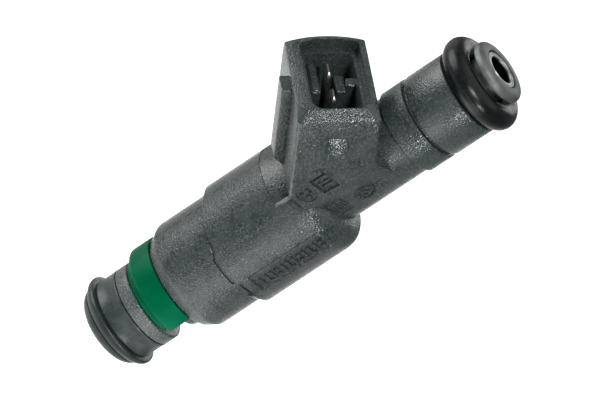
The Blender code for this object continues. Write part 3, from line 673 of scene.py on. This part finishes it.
def side_y(x):
    """Half width of the plinth and neck at this x."""
    low, high = PLINTH_BLEND_X
    if x < low:
        return math.sqrt(NECK_R ** 2 - x ** 2)
    share = min((x - low) / (high - low), 1.0)
    narrowest, widest = NECK_R - 0.06, SHROUD_HALF_T - 0.04
    return narrowest + (widest - narrowest) * (1.0 - math.cos(math.pi * share)) / 2.0


def plinth_section(height, inset):
    low, high = PLINTH_BLEND_X
    steps, front_x = 24, 5.4
    places = [low + (high - low) * step / steps for step in range(steps + 1)] + [front_x]
    right = [Vector((x, side_y(x) - inset, height)) for x in places]
    return right + [Vector((point.x, -point.y, height)) for point in reversed(right)]


def build_plinth():
    """Block that carries the connector; its sides run smoothly into the neck."""
    foot_z, foot_rise, foot_inset, top_z = 37.2, 1.4, 1.3, 48.8
    sections = []
    for step in (0.0, 30.0, 60.0, 90.0):
        turn = math.radians(step)
        height = foot_z + foot_rise * (1.0 - math.cos(turn))
        sections.append(plinth_section(height, foot_inset * (1.0 - math.sin(turn))))
    sections += [plinth_section(top_z - 0.12, 0.0), plinth_section(top_z - 0.03, 0.04)]
    sections.append(plinth_section(top_z, 0.12))
    return loft(sections, "plinth")


def sunk_mark(outline, depth_below, name):
    """Cutter for a sunk mark on the connector's +Y side; the outline is in (depth, along)."""
    start_y, taper = SHROUD_HALF_T + 0.1, 0.93
    centre_d = sum(point[0] for point in outline) / len(outline)
    centre_n = sum(point[1] for point in outline) / len(outline)
    sections = []
    for share, shrink in ((0.0, 1.0), (0.7, 1.0), (1.0, taper)):
        section = []
        for depth, along in outline:
            d = centre_d + (depth - centre_d) * shrink
            n = centre_n + (along - centre_n) * shrink
            section.append(plug_point(d, start_y - depth_below * share, n))
        sections.append(section)
    return loft(sections, name)


def build_wedges():
    """A latch wedge on each narrow side of the shroud, rising away from the rim."""
    root_y, crest_y = 6.7, 8.7
    made = []
    for side in (-1.0, 1.0):
        sections = []
        for along, tuck in ((-1.1, 0.08), (-0.98, 0.0), (1.38, 0.0), (1.5, 0.08)):
            crest = crest_y - tuck
            outline = [(4.7, root_y), (4.7 + tuck, SHROUD_HALF_T), (5.95, crest - 0.08),
                       (6.15, crest), (7.2 - tuck, crest), (7.35 - tuck, crest - 0.15),
                       (7.35 - tuck, root_y)]
            sections.append([plug_point(depth, side * across, along) for depth, across in outline])
        made.append(loft(sections, "wedge"))
    return made


def build_rear_rib():
    """Narrow rib down the nozzle side of the shroud, cut off level just above the shroud's foot."""
    end_z = SHROUD_FOOT_Z + 0.1
    half_w, crest, root, rounding = 1.5, -6.75, -4.9, 0.15
    sine, cosine = math.sin(CONNECTOR_TILT), math.cos(CONNECTOR_TILT)
    sections = []
    for start, tuck in ((1.1, 0.1), (1.2, 0.0), (None, 0.0)):
        section = []
        for across, along in rounded_rectangle(tuck - half_w, half_w - tuck, crest + tuck, root,
                                               rounding, 3):
            depth = start or (RIM_CENTRE[1] + along * cosine - end_z) / sine
            section.append(plug_point(depth, across, along))
        sections.append(section)
    return loft(sections, "rib")


def build_cavity():
    """Cutter for the inside of the shroud, with a ledge below the wider mouth."""
    bow = RIM_BOW - 0.1
    sections = [plug_section(-1.0, (-6.65, 6.35), (-3.45, 4.65), bow, 1.95, 0.4),
                plug_section(0.02, (-6.65, 6.35), (-3.45, 4.65), bow, 1.95, 0.4),
                plug_section(0.1, (-6.6, 6.3), (-3.4, 4.6), bow, 1.9, 0.4),
                plug_section(1.8, (-6.55, 6.25), (-3.4, 4.55), bow, 1.85, 0.4),
                plug_section(1.8, (-6.25, 5.85), (-2.8, 3.85), 0.0, 1.45, 1.45),
                plug_section(1.9, (-6.2, 5.8), (-2.75, 3.8), 0.0, 1.4, 1.4),
                plug_section(CAVITY_DEPTH, (-5.9, 5.5), (-2.45, 3.5), 0.0, 1.2, 1.2)]
    return loft(sections, "cavity")


def coding_key(depths, across, along, edge=0.12):
    """A block with slightly rounded edges inside the connector."""
    sections = []
    for depth, tuck in ((depths[0], edge), (depths[0] + edge, 0.0), (depths[1], 0.0)):
        outline = rounded_rectangle(across[0] + tuck, across[1] - tuck,
                                    along[0] + tuck, along[1] - tuck, 0.2, 2)
        sections.append([plug_point(depth, a, b) for a, b in outline])
    return loft(sections, "key")


def build_rib_groove():
    """Cutter for the narrow groove beside the rear rib."""
    corners = ((1.5, -5.8), (1.75, -5.8), (1.75, -5.1), (1.5, -5.1))
    sections = [[plug_point(depth, across, along) for across, along in corners]
                for depth in (2.4, 14.6)]
    return loft(sections, "groove")


def build_sunk_marks():
    """Cutters for the diamond and the tilted oval on the +Y side."""
    diamond = plug_outline([(8.39, 40.3), (8.45, 42.82), (4.92, 43.01), (5.26, 40.53)])
    centre_d, centre_n = 14.7, -3.0
    half_d, half_n, tilt = 1.6, 1.2, math.radians(62.0)
    oval = []
    for angle in ring_angles(32):
        d, n = half_d * math.cos(angle), half_n * math.sin(angle)
        oval.append((centre_d + d * math.cos(tilt) - n * math.sin(tilt),
                     centre_n + d * math.sin(tilt) + n * math.cos(tilt)))
    return [sunk_mark(diamond, 0.5, "diamond"), sunk_mark(oval, 0.45, "oval")]


def build_bore():
    """Cutter for the stepped bore that holds the inner pieces."""
    nozzle_r, coil_r, core_r, tube_r = 4.0, 6.6, 3.55, 3.3
    below, above = BODY_BASE_Z - 1.0, BODY_TOP_Z + 1.0
    profile = [(0.0, below), (nozzle_r, below), (nozzle_r, 14.5), (coil_r, 14.5), (coil_r, 34.7)]
    profile += [(core_r, 34.7), (core_r, 35.7), (tube_r, 35.7), (tube_r, above), (0.0, above)]
    return lathe("bore", profile, None, 72)


def build_body():
    body = build_core()
    unions = [build_shroud(), build_plinth(), build_rear_rib()] + build_wedges()
    combine(body, unions, "UNION")
    combine(body, [build_cavity()], "DIFFERENCE")
    keys = [coding_key((3.2, 10.9), (-6.5, -0.4), (-2.3, -1.0), 0.3),
            coding_key((4.0, 10.9), (-4.3, -1.1), (1.2, 2.6)),
            coding_key((3.0, 10.9), (-2.7, -1.2), (2.5, 4.1))]
    combine(body, keys, "UNION")
    sunk = [build_rib_groove()] + build_sunk_marks() + [build_bore()]
    combine(body, sunk, "DIFFERENCE")
    shade(body.data, BODY_SMOOTH_ANGLE)
    return settle(body, "overmould_body", slot="grained_grey_plastic")


# ---------------------------------------------------------------- small marks
def add_block(work, centre, axes, size):
    """A small block with bevelled top edges; axes are (length, width, outward)."""
    long_way, wide_way, out_way = axes
    half_l, half_w, height = size
    root, bevel = -0.1, 0.18
    for level, shrink in ((root, 0.0), (height * 0.6, 0.0), (height, bevel)):
        ring = []
        for sign_l, sign_w in ((-1, -1), (1, -1), (1, 1), (-1, 1)):
            spread_l = sign_l * max(half_l - shrink * half_w, half_l * 0.3)
            spread_w = sign_w * half_w * (1.0 - shrink * 2.0)
            point = centre + long_way * spread_l + wide_way * spread_w + out_way * level
            ring.append(work.verts.new(point))
        if level == root:
            work.faces.new(list(reversed(ring)))
        else:
            for step in range(4):
                after = (step + 1) % 4
                work.faces.new((last[step], last[after], ring[after], ring[step]))
        last = ring
    work.faces.new(last)


def build_plate_marks():
    """Plain raised bars and dots in the sunk plate on the barrel's +Y flank."""
    rows, row_pitch, raised = 13, 0.9, 0.3
    bar, dot, spur = (0.85, 0.15, raised), (0.24, 0.24, raised), (0.26, 0.15, raised)
    work = bmesh.new()
    turn = math.radians(PLATE_MIDDLE)
    out_way = Vector((math.cos(turn), math.sin(turn), 0.0))
    across = Vector((-math.sin(turn), math.cos(turn), 0.0))
    along = Vector((0.0, 0.0, 1.0))
    for row in range(rows):
        height = PLATE_LOW_Z + 0.95 + row * row_pitch
        centre = out_way * PLATE_CHORD + along * height
        kind = row % 4
        if kind == 3:
            for offset in (-0.5, 0.5):
                add_block(work, centre + across * offset, (across, along, out_way), dot)
            continue
        add_block(work, centre, (across, along, out_way), bar)
        if kind == 1:
            spur_at = centre + across * 0.68 + along * 0.3
            add_block(work, spur_at, (along, across, out_way), spur)
    return settle(make_object("plate_marks", work, GREY), slot="grained_grey_plastic")


def side_frame(x, z):
    """Point on the +Y side of the plinth or neck, with its outward and cross directions."""
    nudge = 0.01
    slope = (side_y(x + nudge) - side_y(x - nudge)) / (2.0 * nudge)
    out_way = Vector((-slope, 1.0, 0.0)).normalized()
    cross = Vector((out_way.y, -out_way.x, 0.0))
    return Vector((x, side_y(x), z)), out_way, cross


def build_side_marks():
    """Plain bars in the sunk diamond, dots in the sunk oval, a dotted patch and a ring of dots."""
    diamond_base, diamond_raised = 6.8, 0.42
    oval_base, oval_raised = 6.9, 0.36
    dial_x, dial_z, dial_r = 0.25, 43.95, 1.2
    work = bmesh.new()
    out_way = Vector((0.0, 1.0, 0.0))
    along = Vector((0.0, 0.0, 1.0))
    cross = Vector((1.0, 0.0, 0.0))
    for x, z, half_l, half_w in ((7.75, 41.6, 0.95, 0.15), (6.75, 42.1, 0.35, 0.15),
                                 (6.1, 41.75, 0.8, 0.15), (6.85, 41.1, 0.22, 0.22)):
        add_block(work, Vector((x, diamond_base, z)), (along, cross, out_way),
                  (half_l, half_w, diamond_raised))
    for depth, n, half in ((14.1, -3.0, 0.22), (14.8, -3.6, 0.2),
                           (15.2, -2.6, 0.26), (14.5, -2.5, 0.16)):
        add_block(work, plug_point(depth, oval_base, n), (along, cross, out_way),
                  (half * 1.2, half, oval_raised))

    def add_side_block(x, z, size):
        place, outward, across = side_frame(x, z)
        add_block(work, place, (along, across, outward), size)

    for row in range(7):
        for column in range(5):
            add_side_block(2.2 - row * 0.52, 39.1 + column * 0.42, (0.15, 0.13, 0.2))
    for angle in ring_angles(14):
        add_side_block(dial_x + dial_r * math.sin(angle), dial_z + dial_r * math.cos(angle),
                       (0.17, 0.15, 0.28))
    for x, z in ((0.1, 44.3), (0.6, 43.7), (-0.3, 43.6)):
        add_side_block(x, z, (0.3, 0.15, 0.22))
    return settle(make_object("side_marks", work, GREY), slot="grained_grey_plastic")


# ---------------------------------------------------------------- terminals
def build_blade(name, side):
    """Tinned blade with a chamfered tip, bent down inside the moulding."""
    half_w, half_t, spacing = 1.3, 0.35, 2.4
    bend_depth, end_z, rounding = 15.2, 33.2, 0.08
    centre = side * spacing
    bend = plug_point(bend_depth, 0.0, 0.0)
    cosine, sine = math.cos(CONNECTOR_TILT), math.sin(CONNECTOR_TILT)
    lateral = Vector((-sine, 0.0, cosine))
    mitre_angle = math.pi / 4.0 - CONNECTOR_TILT / 2.0
    mitre = Vector((-math.cos(mitre_angle), 0.0, math.sin(mitre_angle))) / math.cos(mitre_angle)
    places = [(plug_point(0.9, 0.0, 0.0), lateral, half_w - 0.5, half_t * 0.35),
              (plug_point(1.15, 0.0, 0.0), lateral, half_w - 0.25, half_t * 0.6),
              (plug_point(1.7, 0.0, 0.0), lateral, half_w, half_t),
              (bend, mitre, half_w, half_t),
              (Vector((bend.x, 0.0, end_z)), Vector((-1.0, 0.0, 0.0)), half_w, half_t)]
    sections = []
    for middle, offset, width, thick in places:
        edge = min(rounding, thick * 0.4)
        section = []
        for a, b in rounded_rectangle(-width, width, -thick, thick, edge, 2):
            point = middle + offset * b
            section.append(Vector((point.x, centre + a, point.z)))
        sections.append(section)
    return loft(sections, name, BLADE)


# ---------------------------------------------------------------- inlet end
INLET_Z = 67.93                  # the inlet tube's end face


def build_upper_sleeve():
    inner, neck, outer = 3.3, 5.55, 6.09
    foot_z, low, high = 55.6, 56.1, 62.2
    profile = [(inner, foot_z), (neck, foot_z), (neck, low), (outer - 0.22, low)]
    profile += [(outer - 0.06, low + 0.06), (outer, low + 0.22), (outer, high - 0.14)]
    profile += [(outer - 0.04, high - 0.04), (outer - 0.14, high), (inner, high)]
    settle(lathe("upper_sleeve_fine", profile, GREY), "upper_sleeve", slot="grained_grey_plastic")


def build_upper_o_ring():
    outer, section_r, middle_z = 7.02, 1.82, 64.2
    profile = arc((outer - section_r, middle_z), section_r, 0.0, 360.0, 40)[:-1]
    settle(lathe("upper_o_ring_fine", profile, BLACK), "upper_o_ring", slot="black_rubber")


def build_inlet_tube():
    """Metal tube whose end is rolled out to a flange and holds the filter ring."""
    bore, outer, seat = 2.7, 3.2, 2.94
    foot_z, base_z = 35.8, 66.65
    profile = [(bore, foot_z), (outer, foot_z), (outer, base_z - 0.3)]
    profile += arc((3.45, base_z - 0.25), 0.25, 180.0, 90.0, 4)
    profile += [(4.4, base_z)]
    profile += arc((4.43, base_z + 0.2), 0.2, -90.0, 0.0, 4)
    profile += [(4.63, base_z + 0.42)]
    profile += arc((3.9, base_z + 0.46), 0.73, 8.0, 68.0, 8)
    profile += [(3.95, INLET_Z - 0.06), (3.72, INLET_Z), (3.0, INLET_Z), (seat, INLET_Z - 0.05)]
    profile += [(seat, INLET_Z - 1.0), (bore, INLET_Z - 1.0)]
    settle(lathe("inlet_tube_fine", profile, FLANGE), "inlet_tube", slot="plated_steel")


def build_filter_ring():
    """Ring pressed into the inlet's mouth, with a fine turned groove in its face."""
    inner, skirt, outer = 2.05, 2.6, 2.82
    top, rim_z = INLET_Z - 0.15, INLET_Z - 0.9
    profile = [(inner, top - 2.4), (skirt, top - 2.4), (skirt, rim_z), (outer, rim_z)]
    profile += [(outer, top - 0.14), (outer - 0.05, top - 0.05), (outer - 0.14, top)]
    profile += [(2.52, top), (2.49, top - 0.06), (2.43, top - 0.06), (2.4, top)]
    profile += [(inner + 0.18, top), (inner + 0.05, top - 0.05), (inner, top - 0.18)]
    settle(lathe("filter_ring_fine", profile, RING, 96), "filter_ring", slot="brass")


# ---------------------------------------------------------------- inner pieces
def build_return_spring():
    """Coil spring with closed ends, built at one length; the real spring shortens as the armature
    rises.
    """
    low, high, coil_r, wire_r = 23.19, 28.81, 1.0, 0.17
    turns, end_pitch, per_turn = 8, 0.37, 28
    pitch = (high - low - 2.0 * end_pitch) / (turns - 2)
    sections = []
    for step in range(turns * per_turn + 1):
        turned = step / per_turn
        height = low + end_pitch * min(turned, 1.0)
        height += pitch * max(0.0, min(turned, turns - 1.0) - 1.0)
        height += end_pitch * max(0.0, turned - turns + 1.0)
        turn = 2.0 * math.pi * turned
        section = []
        for around in ring_angles(12):
            radius = coil_r + wire_r * math.cos(around)
            section.append(Vector((radius * math.cos(turn), radius * math.sin(turn),
                                   height + wire_r * math.sin(around))))
        sections.append(section)
    spring = loft(sections, "return_spring_fine", WIRE)
    settle(spring, "return_spring", slot="spring_steel")
    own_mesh(spring)


def dress_inner_nodes():
    """Better materials on the CAD meshes that no finer mesh replaces."""
    looks = {
        # the filter basket and mesh get near-black painted shade for the bore
        "filter_basket": SHADE_DARK_NYLON, "filter_mesh": SHADE_DARK_NYLON, "adjusting_sleeve": BRASS,
        "pole_core": IRON, "coil_bobbin": DARK, "coil_winding": COPPER,
        "magnet_housing": IRON, "yoke_washer": IRON, "valve_body": STEEL,
        "lift_shim": STEEL, "guide_sleeve": STEEL, "armature": IRON,
        "valve_needle": STEEL, "valve_ball": STEEL, "needle_guide": STEEL,
        "valve_seat": STEEL, "orifice_plate": STEEL,
    }
    for name, look in looks.items():
        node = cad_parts[name]
        for slot in node.material_slots:
            slot.material = look


# ---------------------------------------------------------------- studio
CAMERA_RIGHT = Vector((-0.6058, 0.1384, 0.7835))
CAMERA_UP = Vector((0.5114, -0.6866, 0.5166))
CAMERA_BACK = Vector((0.6095, 0.7137, 0.345))
CAMERA_DISTANCE = 2.0            # metres from the point aimed at
CAMERA_LENS = 900.0
AIM = Vector((0.203, -0.173, 33.88)) * MM
FLOOR_Z = -0.5                   # metres; far below, so that the part casts no visible shadow
UP = Vector((0.0, 0.0, 1.0))
DOWN = Vector((0.0, 0.0, -1.0))
WHITE = (1.0, 1.0, 1.0, 1.0)


def build_camera():
    data = bpy.data.cameras.new("camera")
    data.sensor_width = 36.0
    data.lens = CAMERA_LENS
    data.clip_start = 0.05
    data.clip_end = 50.0
    camera = bpy.data.objects.new("camera", data)
    bpy.context.scene.collection.objects.link(camera)
    back = CAMERA_BACK.normalized()
    right = (CAMERA_RIGHT - back * CAMERA_RIGHT.dot(back)).normalized()
    up = back.cross(right)
    place = Matrix((right, up, back)).transposed().to_4x4()
    place.translation = AIM + back * CAMERA_DISTANCE
    camera.matrix_world = place
    bpy.context.scene.camera = camera


def add_light(name, toward, distance, size, power, target=AIM):
    """A soft round panel that shines on the target from the given direction."""
    data = bpy.data.lights.new(name, "AREA")
    data.shape = "DISK"
    data.size = size
    data.energy = power
    lamp = bpy.data.objects.new(name, data)
    bpy.context.scene.collection.objects.link(lamp)
    way = toward.normalized()
    lamp.location = target + way * distance
    lamp.rotation_mode = "QUATERNION"
    lamp.rotation_quaternion = way.to_track_quat("Z", "Y")
    return lamp


def add_floor_panel(name, centre, width, length, power):
    """A soft rectangular panel that lies beside the part and shines upward."""
    panel = add_light(name, DOWN, 0.0, width, power, target=Vector(centre))
    panel.data.shape = "RECTANGLE"
    panel.data.size_y = length


def build_floor():
    radius = 6000.0
    work = bmesh.new()
    bmesh.ops.create_circle(work, cap_ends=True, radius=radius, segments=64)
    tree = Tree("pale_floor")
    patches = tree.remap(tree.noise(12.0, 3.0), *NOISE_MIDDLE)
    tone = tree.mix(patches, (0.9, 0.9, 0.9), (0.93, 0.93, 0.93))
    floor = make_object("floor", work, tree.set(Base_Color=tone, Roughness=0.85))
    floor.location = (0.0, 0.0, FLOOR_Z)


def build_world():
    world = bpy.data.worlds.new("studio")
    world.use_nodes = True
    background = world.node_tree.nodes["Background"]
    background.inputs["Color"].default_value = WHITE
    background.inputs["Strength"].default_value = 0.22
    bpy.context.scene.world = world


def build_studio():
    """Floor, world and lights; each light's numbers are distance, size (metres) and power (W)."""
    build_floor()
    build_world()
    picture_up_left = CAMERA_UP * 0.83 - CAMERA_RIGHT * 0.55
    add_light("key", picture_up_left + CAMERA_BACK * 0.14, 0.8, 0.7, 7.4)
    add_light("rear_key", Vector((0.30, -0.95, 0.06)), 0.8, 0.75, 0.9)
    add_light("rear_fill", Vector((-0.61, -0.714, 0.345)), 0.8, 0.4, 0.7)
    add_light("overhead", UP, 1.2, 1.8, 9.0)
    add_floor_panel("low_strip", (0.0, 0.082, 0.001), 0.045, 0.14, 0.048)
    add_floor_panel("low_panel", (0.04, 0.14, 0.0012), 0.17, 0.06, 0.10)
    add_light("right_glint", Vector((0.41, 0.68, 0.61)), 0.7, 0.1, 3.8)
    add_light("bevel_glint", Vector((-0.06, 0.977, 0.17)), 0.7, 0.06, 1.3)
    add_light("band_glint", Vector((-0.03, 0.99, 0.03)), 0.7, 0.04, 1.0)
    behind = AIM - CAMERA_BACK * ((AIM.z - FLOOR_Z) / CAMERA_BACK.z)
    add_light("backdrop", UP, 0.6, 0.9, 8.0, target=behind)
    bpy.context.scene.view_settings.view_transform = "Standard"


def main():
    build_camera()
    build_nozzle_cap()
    build_lower_seal()
    build_nozzle_sleeve()
    build_retaining_band()
    build_colour_ring()
    build_body()
    build_plate_marks()
    build_side_marks()
    settle(build_blade("terminal_a_fine", -1.0), "terminal_blade_a", slot="tinned_bronze")
    settle(build_blade("terminal_b_fine", 1.0), "terminal_blade_b", slot="tinned_bronze")
    build_upper_sleeve()
    build_upper_o_ring()
    build_inlet_tube()
    build_filter_ring()
    build_return_spring()
    dress_inner_nodes()
    build_studio()


main()
